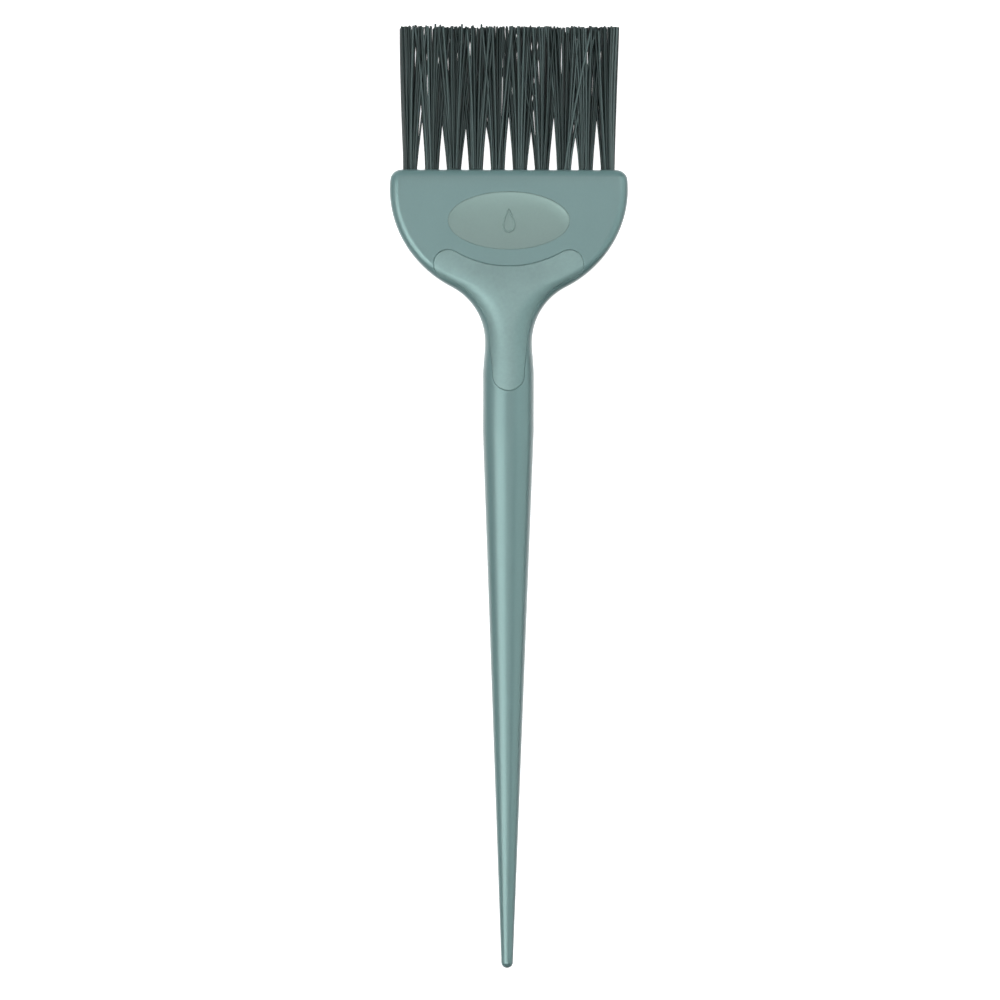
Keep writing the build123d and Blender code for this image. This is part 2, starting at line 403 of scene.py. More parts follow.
def tone_drift():
    """A colour that drifts a little over the surface, as pigment does in a moulding."""
    group = bpy.data.node_groups.get("tone_drift")
    if group:
        return group
    group, start, end = node_group(
        "tone_drift",
        [("Color", "NodeSocketColor", (0.2, 0.3, 0.3, 1.0)), ("Scale", "NodeSocketFloat", 60.0),
         ("Speckle Scale", "NodeSocketFloat", 1500.0), ("Amount", "NodeSocketFloat", 0.1)],
        [("Color", "NodeSocketColor")])
    place = add(group, "ShaderNodeTexCoord").outputs["Object"]
    broad = add(group, "ShaderNodeTexNoise",
                {"Vector": place, "Scale": start.outputs["Scale"], "Detail": 2.0})
    speckle = add(group, "ShaderNodeTexNoise",
                  {"Vector": place, "Scale": start.outputs["Speckle Scale"], "Detail": 2.0})
    both = add(group, "ShaderNodeMath", {0: broad.outputs["Fac"], 1: speckle.outputs["Fac"]},
               operation="ADD")
    swing = add(group, "ShaderNodeMath", {0: both.outputs[0], 1: 1.0}, operation="SUBTRACT")
    value = add(group, "ShaderNodeMath",
                {0: swing.outputs[0], 1: start.outputs["Amount"], 2: 1.0},
                operation="MULTIPLY_ADD")
    tint = add(group, "ShaderNodeHueSaturation",
               {"Color": start.outputs["Color"], "Value": value.outputs[0]})
    group.links.new(tint.outputs["Color"], end.inputs["Color"])
    return group


def new_material(name):
    """A material with its node tree and its shader."""
    material = bpy.data.materials.new(name)
    material.use_nodes = True
    return material, material.node_tree, material.node_tree.nodes["Principled BSDF"]


def dress(tree, shader, tone, roughness, height, bump):
    """Gives a shader its varying colour, roughness and relief."""
    lift = add(tree, "ShaderNodeBump", {"Height": height, **bump})
    tree.links.new(tone.outputs["Color"], shader.inputs["Base Color"])
    tree.links.new(roughness, shader.inputs["Roughness"])
    tree.links.new(lift.outputs["Normal"], shader.inputs["Normal"])


def surface(name, colour, grain, drift, bump, **fixed):
    """A Principled material with drifting colour and moulded grain."""
    material = bpy.data.materials.get(name)
    if material:
        return material
    material, tree, shader = new_material(name)
    tone = add(tree, "ShaderNodeGroup", {"Color": (*colour, 1.0), **drift},
               node_tree=tone_drift())
    texture = add(tree, "ShaderNodeGroup", grain, node_tree=moulded_grain())
    dress(tree, shader, tone, texture.outputs["Roughness"], texture.outputs["Height"], bump)
    for label, value in fixed.items():
        shader.inputs[label].default_value = value
    return material


def satin_plastic():
    """Moulded polypropylene with a fine satin grain."""
    return surface(
        "moulded_satin", settings().finish.plastic,
        {"Grain Scale": 4200.0, "Wave Scale": 420.0, "Wave Share": 0.45, "Roughness": 0.30,
         "Roughness Range": 0.08},
        {"Scale": 45.0, "Speckle Scale": 2200.0, "Amount": 0.07},
        {"Strength": 0.10, "Distance": 0.00005})


def soft_rubber():
    """Matt soft-touch elastomer with a slightly mottled skin."""
    return surface(
        "matt_elastomer", settings().finish.grip,
        {"Grain Scale": 2600.0, "Wave Scale": 650.0, "Wave Share": 0.55, "Roughness": 0.48,
         "Roughness Range": 0.16},
        {"Scale": 260.0, "Speckle Scale": 1300.0, "Amount": 0.2},
        {"Strength": 0.28, "Distance": 0.00010},
        **{"IOR": 1.6, "Sheen Weight": 0.06, "Sheen Roughness": 0.5})


def badge_plastic():
    """Harder inset plastic, a little greyer and greener."""
    return surface(
        "inset_plastic", settings().finish.badge,
        {"Grain Scale": 3600.0, "Wave Scale": 500.0, "Wave Share": 0.4, "Roughness": 0.38,
         "Roughness Range": 0.10},
        {"Scale": 90.0, "Speckle Scale": 1800.0, "Amount": 0.08},
        {"Strength": 0.12, "Distance": 0.00006})


def drawn_brass():
    """Flat brass wire with fine drawing marks along it."""
    material = bpy.data.materials.get("drawn_brass")
    if material:
        return material
    material, tree, shader = new_material("drawn_brass")
    place = add(tree, "ShaderNodeTexCoord").outputs["Object"]
    drawn = add(tree, "ShaderNodeMapping", {"Vector": place, "Scale": (300.0, 9000.0, 9000.0)})
    marks = add(tree, "ShaderNodeTexNoise",
                {"Vector": drawn.outputs[0], "Scale": 1.0, "Detail": 3.0})
    tone = add(tree, "ShaderNodeGroup", {"Color": (*settings().finish.wire, 1.0)},
               node_tree=tone_drift())
    rough = add(tree, "ShaderNodeMapRange",
                {"Value": marks.outputs["Fac"], "To Min": 0.22, "To Max": 0.42})
    dress(tree, shader, tone, rough.outputs["Result"], marks.outputs["Fac"],
          {"Strength": 0.2, "Distance": 0.00002})
    shader.inputs["Metallic"].default_value = 1.0
    return material


def nylon():
    """Dark nylon filaments, each with a shade of its own."""
    material = bpy.data.materials.get("nylon_filament")
    if material:
        return material
    material, tree, shader = new_material("nylon_filament")
    colours = settings().finish
    shade = add(tree, "ShaderNodeAttribute", attribute_name="shade").outputs["Fac"]
    colour_a, colour_b, colour_out = 6, 7, 2  # a mix node's colour sockets, by number
    colour = add(tree, "ShaderNodeMix", data_type="RGBA")
    tree.links.new(shade, colour.inputs["Factor"])
    colour.inputs[colour_a].default_value = (*colours.filament_dark, 1.0)
    colour.inputs[colour_b].default_value = (*colours.filament_light, 1.0)
    tone = add(tree, "ShaderNodeGroup",
               {"Color": colour.outputs[colour_out], "Scale": 400.0, "Amount": 0.15},
               node_tree=tone_drift())
    texture = add(tree, "ShaderNodeGroup", {"Roughness": 0.34, "Roughness Range": 0.06},
                  node_tree=moulded_grain())
    dress(tree, shader, tone, texture.outputs["Roughness"], texture.outputs["Height"],
          {"Strength": 0.08, "Distance": 0.00003})
    return material


def pale_floor():
    """Plain pale floor that gives a little light of its own, as a lit table does."""
    material, _, shader = new_material("pale_floor")
    shader.inputs["Base Color"].default_value = (*settings().finish.floor, 1.0)
    shader.inputs["Roughness"].default_value = 0.8
    shader.inputs["Specular IOR Level"].default_value = 0.1
    shader.inputs["Emission Color"].default_value = (1.0, 1.0, 1.0, 1.0)
    shader.inputs["Emission Strength"].default_value = settings().stage.floor_glow
    return material


# ---- Shape of the body: half width, half depth and rounding at each drop ----

class Form:
    """The brush's outline and sections, worked out from its sizes."""

    def __init__(self, sizes):
        self.s = sizes
        self.tangent_drop, self.flare_x, self.neck_drop = self.flare_tangent()
        self.swell = self.neck_drop + sizes.belly_start
        self.taper_start = self.swell + sizes.belly_length
        self.tail_radius = sizes.tail_diameter / 2
        self.ball_drop = LENGTH - self.tail_radius

    def flare_tangent(self):
        """Where the hollow curve leaves the head's ellipse, and the curve's centre."""
        wide, tall, radius = HEAD_WIDTH / 2, self.s.head_bow, self.s.flare_radius
        low, high = -math.pi / 2, 0.0
        halvings = 60
        for _ in range(halvings):
            t = (low + high) / 2
            normal = math.hypot(tall * math.cos(t), wide * math.sin(t))
            x = wide * math.cos(t) + radius * tall * math.cos(t) / normal
            y = tall * math.sin(t) + radius * wide * math.sin(t) / normal
            if x > self.s.neck_width / 2 + radius:
                high = t
            else:
                low = t
        return self.s.shoulder_drop - tall * math.sin(t), x, self.s.shoulder_drop - y

    def half_width(self, drop):
        """Head, hollow curve, neck and belly, taper."""
        s = self.s
        if drop < self.tangent_drop:
            bow = (drop - s.shoulder_drop) / s.head_bow
            side = HEAD_WIDTH / 2 * math.sqrt(1 - bow**2)
            return side - s.corner_radius + rounding(s.corner_radius, drop)
        if drop < self.neck_drop:
            reach = self.neck_drop - drop
            return self.flare_x - math.sqrt(s.flare_radius**2 - reach**2)
        if drop < self.taper_start:
            share = smooth(self.neck_drop, self.swell, drop)
            return mix(s.neck_width, s.belly_width, share) / 2
        return self.taper(s.belly_width / 2, drop)

    def half_depth(self, drop):
        """Flat head, swell to the belly, taper."""
        s = self.s
        if drop < self.taper_start:
            share = smooth(s.swell_start, self.swell, drop)
            deep = mix(s.head_thickness, BELLY_DEPTH, share) / 2
            return deep - s.rim_radius + rounding(s.rim_radius, drop)
        return self.taper(BELLY_DEPTH / 2, drop)

    def taper(self, start, drop):
        """Straight taper to the tail, and the tail's ball end."""
        if drop < self.ball_drop:
            share = (drop - self.taper_start) / (self.ball_drop - self.taper_start)
            return mix(start, self.tail_radius, share)
        return math.sqrt(max(self.tail_radius**2 - (drop - self.ball_drop) ** 2, 0.0))

    def corner(self, drop):
        """Half width, half depth, and the section's corner across and through."""
        s = self.s
        wide, deep = self.half_width(drop), self.half_depth(drop)
        step = 0.0001
        lean = (self.half_width(drop + step) - self.half_width(max(drop - step, 0.0))) / (2 * step)
        share = smooth(s.swell_start, self.neck_drop, drop)
        across = min(s.rim_radius * math.hypot(1, lean), wide)
        if drop < s.corner_radius:
            across = min(across, rounding(s.corner_radius, drop))
        through = rounding(s.rim_radius, drop) if drop < s.rim_radius else s.rim_radius
        across = mix(across, wide, share)
        through = mix(through, deep, share)
        least = 0.00002
        return wide, deep, max(across, least), max(through, least)

    def surface_z(self, x, drop):
        """Height of the front face above the middle plane."""
        wide, deep, across, through = self.corner(drop)
        past = max(abs(x) - (wide - across), 0.0) / across
        return deep - through + through * math.sqrt(max(1 - past**2, 0.0))

    def section(self, drop, count, corner_share):
        """The points of one section, spread by length and by turn."""
        wide, deep, across, through = self.corner(drop)
        steps = 40
        quarter = [(wide, 0.0, 0.0)]
        for i in range(steps + 1):
            turn = math.pi / 2 * i / steps
            quarter.append((wide - across + across * math.cos(turn),
                            deep - through + through * math.sin(turn), turn))
        quarter.append((0.0, deep, math.pi / 2))
        marks, travelled = [0.0], 0.0
        for a, b in zip(quarter, quarter[1:]):
            travelled += math.hypot(b[0] - a[0], b[1] - a[1])
            marks.append(travelled)
        marks = [mix(m / travelled, p[2] / (math.pi / 2), corner_share)
                 for m, p in zip(marks, quarter)]
        points, k = [], 0
        for i in range(count // 4 + 1):
            wanted = i / (count // 4)
            while k < len(marks) - 2 and marks[k + 1] < wanted:
                k += 1
            span = marks[k + 1] - marks[k]
            share = min((wanted - marks[k]) / span, 1.0) if span else 0.0
            points.append((mix(quarter[k][0], quarter[k + 1][0], share),
                           mix(quarter[k][1], quarter[k + 1][1], share)))
        upper = points + [(-x, z) for x, z in reversed(points[:-1])]
        lower = [(-x, -z) for x, z in upper[1:-1]]
        return upper + lower

    def stations(self):
        """Drops of the sections: close at the rounded ends, the swell and the flare."""
        rim_steps, ball_steps = 10, 7
        rim, start = self.s.rim_radius, 0.00001
        drops = [max(rim * (1 - math.cos(math.pi / 2 * i / rim_steps)), start)
                 for i in range(rim_steps)]
        # where each stretch ends, and the spacing in it
        for end, step in ((self.s.swell_start, 0.0008), (self.swell, 0.0005),
                          (self.taper_start, 0.001), (self.ball_drop, 0.0025)):
            begin = drops[-1]
            count = math.ceil((end - begin) / step)
            drops += [mix(begin, end, (i + 1) / count) for i in range(count)]
        drops += [self.ball_drop + self.tail_radius * math.sin(math.pi / 2 * i / ball_steps)
                  for i in range(1, ball_steps)]
        return drops + [LENGTH - start]


def blank_body(form):
    """The whole brush without its pockets: one ring drawn out along the brush."""
    sizes = form.s
    count = sizes.ring_points
    bm = bmesh.new()
    ring = bmesh.ops.create_circle(bm, segments=count, radius=1.0)["verts"]
    edges = list(bm.edges)
    for number, drop in enumerate(form.stations()):
        if number:
            ring, edges = next_ring(bm, ring, edges)
        for vert, (x, z) in zip(ring, form.section(drop, count, sizes.corner_share)):
            vert.co = (x, MOUTH_Y - drop, MID_Z + z)
    bmesh.ops.holes_fill(bm, edges=bm.edges, sides=count)
    return to_object("blank", bm)


# ---- The pads: outline, space, grooves and pegs ----

def lobe_centre(form, pads):
    """The middle of the right arm's round end, measured from the middle of the mouth."""
    x = pads.width / 2 - pads.lobe_radius
    reach = form.s.flare_radius + pads.band + pads.lobe_radius
    return x, math.sqrt(reach**2 - (form.flare_x - x) ** 2) - form.neck_drop


def arc_on(bm, vert, centre, turn, steps):
    """Goes on from a vertex along an arc in the plane of the head, and gives its last vertex."""
    made = bmesh.ops.spin(bm, geom=[vert], cent=(*centre, 0), axis=(0, 0, 1), angle=turn,
                          steps=steps, use_duplicate=False)
    return next(v for v in made["geom_last"] if isinstance(v, bmesh.types.BMVert))


def pad_outline(form, pads, seam):
    """A bmesh of the pad's closed outline at the middle plane, pulled in by the seam. Its
    origin is the middle of the mouth."""
    flare = (form.flare_x, -form.neck_drop)
    lobe = lobe_centre(form, pads)
    foot = pads.top_drop + pads.lobe_radius
    top_centre = (0.0, -(foot**2 - lobe[0] ** 2 - lobe[1] ** 2) / (2 * (foot + lobe[1])))
    end_centre = (0.0, pads.end_radius - pads.end_drop)
    steps = 18
    bm = bmesh.new()
    vert = bmesh.ops.create_vert(bm, co=(0, -pads.top_drop - seam, 0))["vert"][0]
    vert = arc_on(bm, vert, top_centre, heading(top_centre, lobe) + math.pi / 2, 2 * steps)
    lobe_start, lobe_end = heading(lobe, top_centre), heading(lobe, flare)
    vert = arc_on(bm, vert, lobe, lobe_end - lobe_start, 2 * steps)
    vert = arc_on(bm, vert, flare, -lobe_end, 2 * steps)
    side_x, end_x = vert.co.x, pads.end_radius - seam
    side_y = vert.co.y
    for i in range(1, steps + 1):
        share = i / steps
        fresh = bmesh.ops.extrude_vert_indiv(bm, verts=[vert])["verts"][0]
        fresh.co = (mix(side_x, end_x, smooth(0, 1, share)), mix(side_y, end_centre[1], share), 0)
        vert = fresh
    arc_on(bm, vert, end_centre, -math.pi / 2, steps)
    whole = bm.verts[:] + bm.edges[:]
    bmesh.ops.mirror(bm, geom=whole, axis="X", merge_dist=0.000001)
    bmesh.ops.remove_doubles(bm, verts=bm.verts, dist=0.000002)
    return bm


def in_order(bm):
    """The vertices of a closed outline, one after another."""
    bm.verts.ensure_lookup_table()
    first = bm.verts[0]
    found, last, here = [first], None, first
    while True:
        ahead = next(e.other_vert(here) for e in here.link_edges if e.other_vert(here) is not last)
        if ahead is first:
            return found
        found.append(ahead)
        last, here = here, ahead


def pad_block(form, pads, seam, side):
    """The space of one pad, from its floor outwards. Side is 1 in front and -1 behind."""
    bm = pad_outline(form, pads, seam)
    bmesh.ops.contextual_create(bm, geom=bm.edges[:])
    floor = form.s.head_thickness / 2 - pads.depth
    bmesh.ops.translate(bm, verts=bm.verts, vec=(0, MOUTH_Y, MID_Z + side * floor))
    drawn = bmesh.ops.extrude_face_region(bm, geom=bm.faces[:])["geom"]
    top = [v for v in drawn if isinstance(v, bmesh.types.BMVert)]
    bmesh.ops.translate(bm, verts=top, vec=(0, 0, side * BELLY_DEPTH))
    return to_object("pad_block", bm)


def pad_groove(form, pads, side):
    """A thin tube that follows the pad's edge over the surface."""
    bm = pad_outline(form, pads, pads.seam / 2)
    path = [(x, MOUTH_Y + y, MID_Z + side * form.surface_z(x, -y))
            for x, y, _ in (vert.co for vert in in_order(bm))]
    bm.free()
    return closed_tube("groove", path, pads.groove, resolution=2)


def pegs(form, pads, clearance):
    """The three pegs that join the front pad to the rear pad."""
    lobe_x, lobe_y = lobe_centre(form, pads)
    places = [(lobe_x, lobe_y), (-lobe_x, lobe_y), (0.0, pads.end_radius - pads.end_drop)]
    bm = bmesh.new()
    for x, y in places:
        rod(bm, pads.peg_diameter / 2 + clearance, form.s.head_thickness - pads.depth,
            Matrix.Translation((x, MOUTH_Y + y, MID_Z)), PEG_SEGMENTS)
    return to_object("pegs", bm)


def badge_pegs(clearance):
    """The two short pegs behind the badge."""
    sizes = settings().badge
    overlap = 0.0002
    radius, length = sizes.peg_diameter / 2 + clearance, sizes.peg_length + clearance + overlap
    floor = MID_Z + settings().body.head_thickness / 2 - sizes.thickness
    bm = bmesh.new()
    for side in (1, -1):
        place = (side * sizes.peg_spacing / 2, MOUTH_Y - sizes.drop, floor + overlap - length / 2)
        rod(bm, radius, length, Matrix.Translation(place), PEG_SEGMENTS)
    return to_object("badge_pegs", bm)


# ---- Operators ----

class TINTBRUSH_OT_body(bpy.types.Operator):
    """Makes the head and handle, with the holes and pockets of what is set into it"""

    bl_idname = "tint_brush.body"
    bl_label = "Head and handle"

    def execute(self, context):
        s = settings()
        form = Form(s.body)
        body = blank_body(form)
        body.name = "brush_body"
        cut(body, "DIFFERENCE", *[pad_block(form, s.grip, 0.0, side) for side in (1, -1)])
        cut(body, "DIFFERENCE", pegs(form, s.grip, PEG_CLEARANCE), self.holes(),
            self.badge_pocket(), badge_pegs(PEG_CLEARANCE))
        cut(body, "DIFFERENCE", *[pad_groove(form, s.grip, side) for side in (1, -1)])
        finish_piece(body, satin_plastic(), "handle", "satin_plastic", "handle_body")
        return {"FINISHED"}

    def holes(self):
        """The row of blind holes in the mouth."""
        sizes = settings().tufts
        past = 0.001
        middle = MOUTH_Y + (past - sizes.hole_depth) / 2
        bm = bmesh.new()
        for x in tuft_places():
            place = Matrix.Translation((x, middle, MID_Z)) @ ALONG_Y
            rod(bm, sizes.hole_diameter / 2, sizes.hole_depth + past, place, segments=36)
        return to_object("holes", bm)

    def badge_pocket(self):
        """The oval pocket for the badge."""
        sizes = settings().badge
        face = settings().body.head_thickness / 2
        past = 0.001
        bm = bmesh.new()
        oval = Matrix.Diagonal((sizes.width / 2, sizes.height / 2, 1.0, 1.0))
        height = MID_Z + face + (past - sizes.thickness) / 2
        place = Matrix.Translation((0, MOUTH_Y - sizes.drop, height)) @ oval
        rod(bm, 1.0, sizes.thickness + past, place, OVAL_SEGMENTS)
        return to_object("badge_pocket", bm)


class TINTBRUSH_OT_grip(bpy.types.Operator):
    """Makes the soft pads, swollen a little above their edges, and the pegs between them"""

    bl_idname = "tint_brush.grip"
    bl_label = "Soft grip"

    def execute(self, context):
        s = settings()
        form = Form(s.body)
        grip = pad_block(form, s.grip, s.grip.seam, 1)
        grip.name = "grip_pads"
        rear = pad_block(form, s.grip, s.grip.seam, -1)
        for pad in (grip, rear):
            cut(pad, "INTERSECT", blank_body(form))
        cut(grip, "UNION", pegs(form, s.grip, 0.0))
        cut(grip, "UNION", rear)
        cut(grip, "DIFFERENCE", *[pad_groove(form, s.grip, side) for side in (1, -1)])
        self.swell(grip, form, s.grip)
        finish_piece(grip, soft_rubber(), "handle", "soft_grip", "soft_grip")
        return {"FINISHED"}

    def swell(self, grip, form, pads):
        """Lifts the outer faces towards their middle, and leaves the rim where it is."""
        outline = pad_outline(form, pads, pads.seam)
        tree = KDTree(len(outline.verts))
        for number, vert in enumerate(outline.verts):
            tree.insert(vert.co, number)
        tree.balance()
        outline.free()
        skin = form.s.head_thickness / 2 - pads.depth / 2
        dome_start, dome_end = pads.top_drop - 0.004, pads.top_drop + 0.010
        for vert in grip.data.vertices:
            height = vert.co.z - MID_Z
            if abs(height) < skin:
                continue
            drop = MOUTH_Y - vert.co.y
            inside = max(tree.find((vert.co.x, -drop, 0))[2] - pads.groove, 0.0)
            across = min(abs(vert.co.x) / (pads.width / 2), 1.0)
            middle = (1 - across**2) * smooth(dome_start, dome_end, drop)
            room = BELLY_DEPTH / 2 - form.half_depth(drop)
            rise = room * (pads.crown + pads.dome * middle)
            vert.co.z += math.copysign(rise * (1 - math.exp(-inside / pads.crown_reach)), height)


class TINTBRUSH_OT_badge(bpy.types.Operator):
    """Makes the oval badge, with a fine lip, a dished face and a raised drop"""

    bl_idname = "tint_brush.badge"
    bl_label = "Badge"

    def execute(self, context):
        sizes = settings().badge
        face = settings().body.head_thickness / 2
        floor = MID_Z + face - sizes.thickness
        bm = bmesh.new()
        ring = bmesh.ops.create_circle(
            bm, segments=OVAL_SEGMENTS, radius=1.0, cap_ends=True)["verts"]
        edges = list(bm.edges)
        wide, tall = sizes.width / 2 - sizes.seam, sizes.height / 2 - sizes.seam
        for number, (inset, height) in enumerate(self.profile(sizes, tall)):
            if number:
                ring, edges = next_ring(bm, ring, edges)
            across = wide - mix(inset, inset * wide / tall, smooth(0, tall, inset))
            for i, vert in enumerate(ring):
                turn = 2 * math.pi * i / OVAL_SEGMENTS
                vert.co = (across * math.cos(turn), (tall - inset) * math.sin(turn), height)
        bmesh.ops.holes_fill(bm, edges=edges, sides=OVAL_SEGMENTS)
        bmesh.ops.translate(bm, verts=bm.verts, vec=(0, MOUTH_Y - sizes.drop, floor))
        badge = to_object("badge_inset", bm)
        cut(badge, "UNION", self.drop_ornament(sizes, floor), badge_pegs(0.0))
        finish_piece(badge, badge_plastic(), "handle", "badge_plastic", "badge")
        return {"FINISHED"}

    def profile(self, sizes, tall):
        """Steps from the badge's lower edge over its lip into the dish, as inset and height."""
        top, lip = sizes.thickness, sizes.lip
        lip_steps, dish_steps = 6, 18
        yield 0.0, 0.0
        for i in range(lip_steps + 1):
            turn = math.pi * i / lip_steps
            yield lip * (1 - math.cos(turn)), top - lip + lip * math.sin(turn)
        dish_share, crowding = 0.97, 1.3  # of the half height, and towards the lip
        for i in range(1, dish_steps + 1):
            reach = (tall * dish_share - 2 * lip) * (i / dish_steps) ** crowding
            dip = sizes.dish * (1 - math.exp(-reach / sizes.dish_reach))
            yield 2 * lip + reach, top - lip / 2 - dip

    def drop_ornament(self, sizes, floor):
        """A raised outline of a falling drop, generic and plain."""
        radius, sink = 0.00019, 0.8
        plumpness, pointing = 0.36, 1.5
        count = 48
        height = floor + sizes.thickness - sizes.dish * sink
        path = []
        for i in range(count):
            turn = 2 * math.pi * i / count
            x = plumpness * sizes.ornament * math.sin(turn) * math.sin(turn / 2) ** pointing
            y = sizes.ornament / 2 * math.cos(turn)
            path.append((x, MOUTH_Y - sizes.drop + y, height))
        return closed_tube("drop", path, radius, resolution=3)


def tuft_places():
    """The middle of each tuft across the head, from the frame."""
    places = []
    for number in range(1, TUFT_COUNT + 1):
        low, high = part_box(f"tuft_foot_{number:02d}")
        places.append((low.x + high.x) / 2)
    return places


class TINTBRUSH_OT_tufts(bpy.types.Operator):
    """Makes the ten tufts, every filament from its fold in the hole to its trimmed end"""

    bl_idname = "tint_brush.tufts"
    bl_label = "Tufts"

    def execute(self, context):
        sizes = settings().tufts
        chance = random.Random(sizes.seed)
        places = tuft_places()
        for number, x in enumerate(places, start=1):
            outer = -1 if number == 1 else 1 if number == len(places) else 0
            tuft = self.tuft(sizes, x, outer, chance)
            tuft.name = f"tuft_filaments_{number:02d}"
            finish_piece(tuft, nylon(), None, "bristle",
                         f"tuft_{number:02d}", f"tuft_foot_{number:02d}")
            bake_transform(tuft)
        return {"FINISHED"}

    def tuft(self, sizes, x, outer, chance):
        """One tuft, each filament with a shade of its own. Outer is the side of the row that
        an end tuft is on, and 0 for the others."""
        dark_power = 2.4  # most filaments are dark and a few are light
        bm = bmesh.new()
        shade = bm.verts.layers.float.new("shade")
        spots = sorted(self.packing(sizes, chance))
        wide = sizes.fan * (sizes.hole_diameter - sizes.filament_diameter) / 2
        for number, (u, v) in enumerate(spots):
            end_u = mix(-wide, wide, (number + 0.5) / len(spots))
            path = self.path(sizes, x, u, v, end_u, outer, chance)
            tone = chance.random() ** dark_power
            before = len(bm.verts)
            self.filament(bm, path, sizes.filament_diameter / 2)
            bm.verts.ensure_lookup_table()
            for vert in bm.verts[before:]:
                vert[shade] = tone
        return to_object("tuft", bm)

    def packing(self, sizes, chance):
        """Places of the filaments in a hole: rings round one in the middle."""
        pitch = (sizes.hole_diameter - sizes.filament_diameter) / 2 / sizes.rings
        yield 0.0, 0.0
        for ring in range(1, sizes.rings + 1):
            start = chance.random()
            for i in range(6 * ring):
                turn = 2 * math.pi * (i + start) / (6 * ring)
                yield ring * pitch * math.cos(turn), ring * pitch * math.sin(turn)

    def lean(self, sizes, u, v, end_u, outer, chance):
        """How far a filament's tip leans across and through. The end tufts lean out less, so
        that the row has straight sides."""
        most, outer_share, outer_most = 0.0062, 0.32, 0.0013
        across = end_u - u + chance.gauss(0, sizes.waver)
        through = v * sizes.fan_deep - v + chance.gauss(0, sizes.waver)
        if chance.random() < sizes.stray_share:
            across += chance.gauss(0, sizes.stray_lean)
        across = max(-most, min(most, across))
        if outer and across * outer > 0.0:
            across = math.copysign(min(abs(across) * outer_share, outer_most), across)
        room = BELLY_DEPTH / 2 - sizes.filament_diameter
        return across, max(-room - v, min(room - v, through))

    def free_length(self, sizes, chance):
        """From the mouth to the end. Most are trimmed a little short of the tips, a few reach
        them, and a few are shorter still."""
        whole = TIP_Y - MOUTH_Y
        margin, short_of = 0.00005, sizes.filament_diameter * 1.3
        long_share, short_share, shortening = 0.05, 0.05, 0.0011
        length = whole - short_of - abs(chance.gauss(0, sizes.trim))
        odd = chance.random()
        if odd < long_share:
            length = whole - sizes.filament_diameter / 2 - margin
        elif odd < long_share + short_share:
            length -= abs(chance.gauss(0, shortening))
        return length

    def path(self, sizes, x, u, v, end_u, outer, chance):
        """A filament's points from its fold under the anchor to its end."""
        lean_x, lean_z = self.lean(sizes, u, v, end_u, outer, chance)
        length = self.free_length(sizes, chance)
        bulge_size, anchor_gap, fold_share, fold_gap = 0.00022, 0.00045, 0.3, 0.6
        bulge = chance.gauss(0, bulge_size)
        deep = v if abs(v) > anchor_gap else math.copysign(anchor_gap, v or 1.0)
        bottom = sizes.hole_depth - sizes.filament_diameter * fold_gap
        over_fold, over_anchor, throat = 0.0007, 0.0035, 0.0008
        points = [Vector((x + u, MOUTH_Y - drop, MID_Z + z)) for drop, z in (
            (bottom, fold_share * deep), (bottom - over_fold, deep),
            (bottom - over_anchor, deep), (throat, v))]
        steps, fan_power = 8, 1.1
        for i in range(1, steps + 1):
            t = i / steps
            spread = t**fan_power
            points.append(Vector((x + u + lean_x * spread + bulge * math.sin(math.pi * t),
                                  MOUTH_Y + length * t, MID_Z + v + lean_z * spread)))
        return points

    def filament(self, bm, path, radius):
        """A six-sided filament along its path, with both ends closed."""
        sides = 6
        first = Matrix.Translation(path[0]) @ self.facing(path[1] - path[0])
        bmesh.ops.create_circle(bm, cap_ends=True, segments=sides, radius=radius, matrix=first)
        bm.faces.ensure_lookup_table()
        face = bm.faces[-1]
        for i, (here, ahead) in enumerate(zip(path, path[1:])):
            after = path[min(i + 2, len(path) - 1)]
            direction = (after - here).normalized()
            grown = bmesh.ops.extrude_face_region(bm, geom=[face])["geom"]
            if i:
                bmesh.ops.delete(bm, geom=[face], context="FACES_ONLY")
            face = next(f for f in grown if isinstance(f, bmesh.types.BMFace))
            old = self.facing(ahead - here if not i else here - path[i - 1])
            turn = self.facing(direction) @ old.inverted()
            bmesh.ops.transform(bm, verts=face.verts,
                                matrix=Matrix.Translation(ahead) @ turn.to_3x3().to_4x4()
                                @ Matrix.Translation(-here))

    def facing(self, direction):
        """Turns a flat ring to face along a direction."""
        return direction.to_track_quat("Z", "X").to_matrix().to_4x4()


class TINTBRUSH_OT_anchors(bpy.types.Operator):
    """Gives the wire anchors in the holes their drawn brass"""

    bl_idname = "tint_brush.anchors"
    bl_label = "Anchors"

    def execute(self, context):
        for name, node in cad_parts.items():
            if name.startswith("tuft_anchor_"):
                node.data.materials.clear()
                node.data.materials.append(drawn_brass())
        return {"FINISHED"}


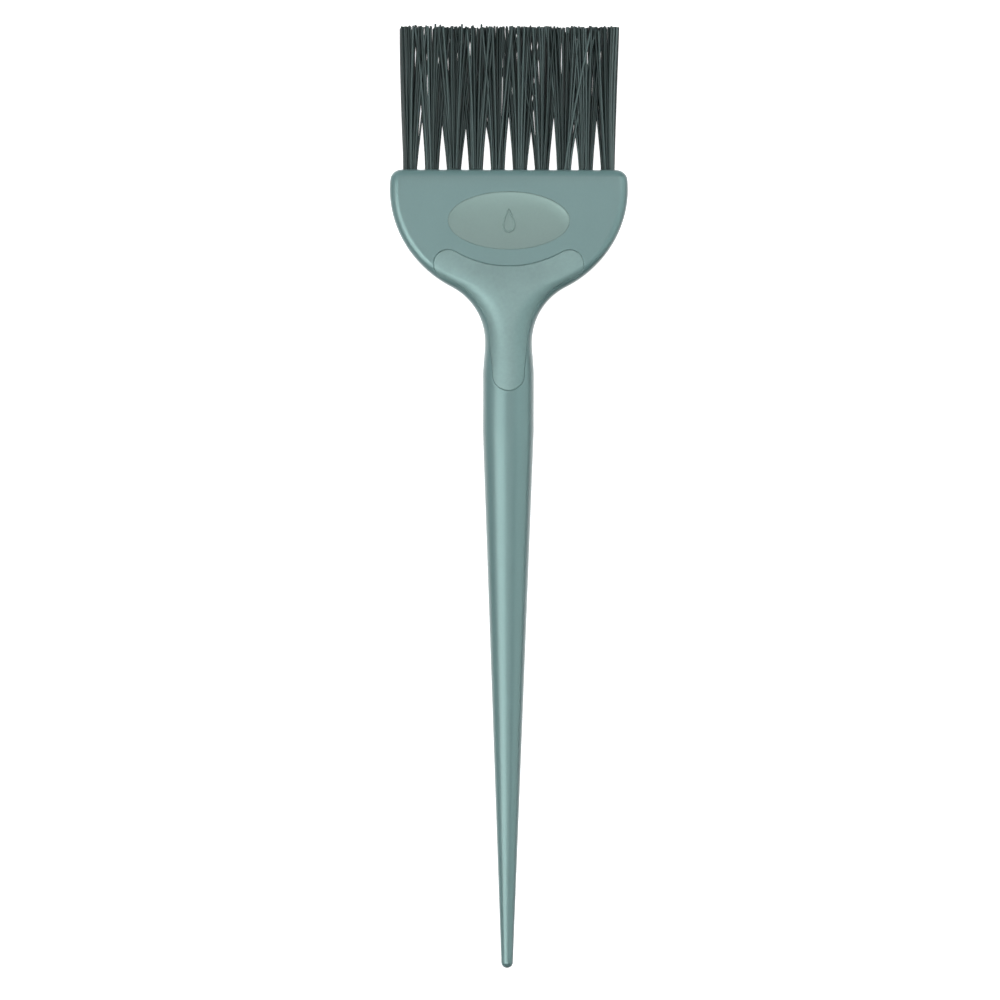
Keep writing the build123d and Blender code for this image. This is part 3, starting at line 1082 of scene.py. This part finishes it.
class TINTBRUSH_OT_stage(bpy.types.Operator):
    """Sets up the floor, the soft lights and the camera"""

    bl_idname = "tint_brush.stage"
    bl_label = "Stage"

    def execute(self, context):
        s = settings().stage
        scene = context.scene
        scene.view_settings.view_transform = "Standard"
        scene.world = self.room(s)
        bm = bmesh.new()
        bmesh.ops.create_grid(bm, x_segments=1, y_segments=1, size=3.0)
        floor = to_object("floor", bm)
        floor.data.materials.append(pale_floor())
        floor.visible_diffuse = floor.visible_glossy = False
        # name, power, place, size
        self.soft_light("sky", s.sky_power, (0.05, 0.32, 0.73), (0.6, 0.6), mirrored=False)
        self.soft_light("side", s.side_power, (-0.69, 0.0, 0.41), (0.5, 0.5), mirrored=False)
        self.soft_light("key", s.key_power, (-0.46, -0.20, 0.66), (0.66, 0.62), mirrored=True)
        self.soft_light("right", s.right_power, (0.71, 0.0, 0.37), (0.92, 1.0), mirrored=True)
        self.soft_light("head", s.head_power, (0.29, 0.27, 0.69), (0.42, 0.38), mirrored=True)
        self.soft_light("foot", s.foot_power, (0.0, -0.82, 2.25), (1.5, 0.9), mirrored=True)
        lens = bpy.data.cameras.new("camera")
        lens.sensor_width = 36.0
        lens.lens = lens.sensor_width * s.camera_height / s.view_width
        lens.clip_end = 20.0
        camera = bpy.data.objects.new("camera", lens)
        camera.location = (s.view_x, s.view_y, MID_Z + s.camera_height)
        camera.rotation_euler = (0.0, 0.0, s.roll)
        scene.collection.objects.link(camera)
        scene.camera = camera
        return {"FINISHED"}

    def room(self, s):
        """A dim room over a bright white table."""
        world = bpy.data.worlds.new("room")
        world.use_nodes = True
        tree = world.node_tree
        edge, full = -0.1, -0.65  # how far down one looks before the table shows, and fills
        place = add(tree, "ShaderNodeTexCoord").outputs["Generated"]
        height = add(tree, "ShaderNodeSeparateXYZ", {0: place}).outputs["Z"]
        below = add(tree, "ShaderNodeMapRange",
                    {"Value": height, "From Min": edge, "From Max": full, "To Min": s.horizon,
                     "To Max": s.table}, interpolation_type="SMOOTHSTEP")
        tree.links.new(below.outputs[0], tree.nodes["Background"].inputs["Strength"])
        tree.nodes["Background"].inputs["Color"].default_value = (1.0, 1.0, 1.0, 1.0)
        return world

    def soft_light(self, name, power, place, size, mirrored):
        """A rectangular soft light that faces the brush, with its first side across the brush.
        It either shows in reflections or lights what it faces, so that the two can be set
        apart."""
        light = bpy.data.lights.new(name, "AREA")
        light.shape = "RECTANGLE"
        light.size, light.size_y = size
        light.energy = power
        if mirrored:
            light.color = settings().stage.sheen_tint
        away = Vector(place).normalized()
        across = Vector((0, 1, 0)).cross(away).normalized()
        turn = Matrix((across, away.cross(across), away)).transposed()
        lamp = bpy.data.objects.new(name, light)
        lamp.matrix_world = Matrix.Translation(place) @ turn.to_4x4()
        lamp.visible_camera = False
        lamp.visible_diffuse = not mirrored
        lamp.visible_glossy = mirrored
        bpy.context.scene.collection.objects.link(lamp)


class TINTBRUSH_PT_panel(bpy.types.Panel):
    """Lists what can be built"""

    bl_idname = "TINTBRUSH_PT_panel"
    bl_label = "Tint Brush"
    bl_space_type = "VIEW_3D"
    bl_region_type = "UI"
    bl_category = "Tint Brush"

    def draw(self, context):
        for step in STEPS:
            self.layout.operator(step.bl_idname)


STEPS = (TINTBRUSH_OT_body, TINTBRUSH_OT_grip, TINTBRUSH_OT_badge, TINTBRUSH_OT_tufts,
         TINTBRUSH_OT_anchors, TINTBRUSH_OT_stage)
CLASSES = (BodySizes, GripSizes, BadgeSizes, TuftSizes, Finishes, StageSizes, TintBrushSettings,
           *STEPS, TINTBRUSH_PT_panel)


def register():
    for cls in CLASSES:
        bpy.utils.register_class(cls)
    bpy.types.Scene.tint_brush = PointerProperty(type=TintBrushSettings)


def unregister():
    del bpy.types.Scene.tint_brush
    for cls in reversed(CLASSES):
        bpy.utils.unregister_class(cls)


def main():
    """Builds the brush and its stage."""
    register()
    bpy.ops.tint_brush.body()
    bpy.ops.tint_brush.grip()
    bpy.ops.tint_brush.badge()
    bpy.ops.tint_brush.tufts()
    bpy.ops.tint_brush.anchors()
    bpy.ops.tint_brush.stage()


if __name__ == "__main__":
    main()
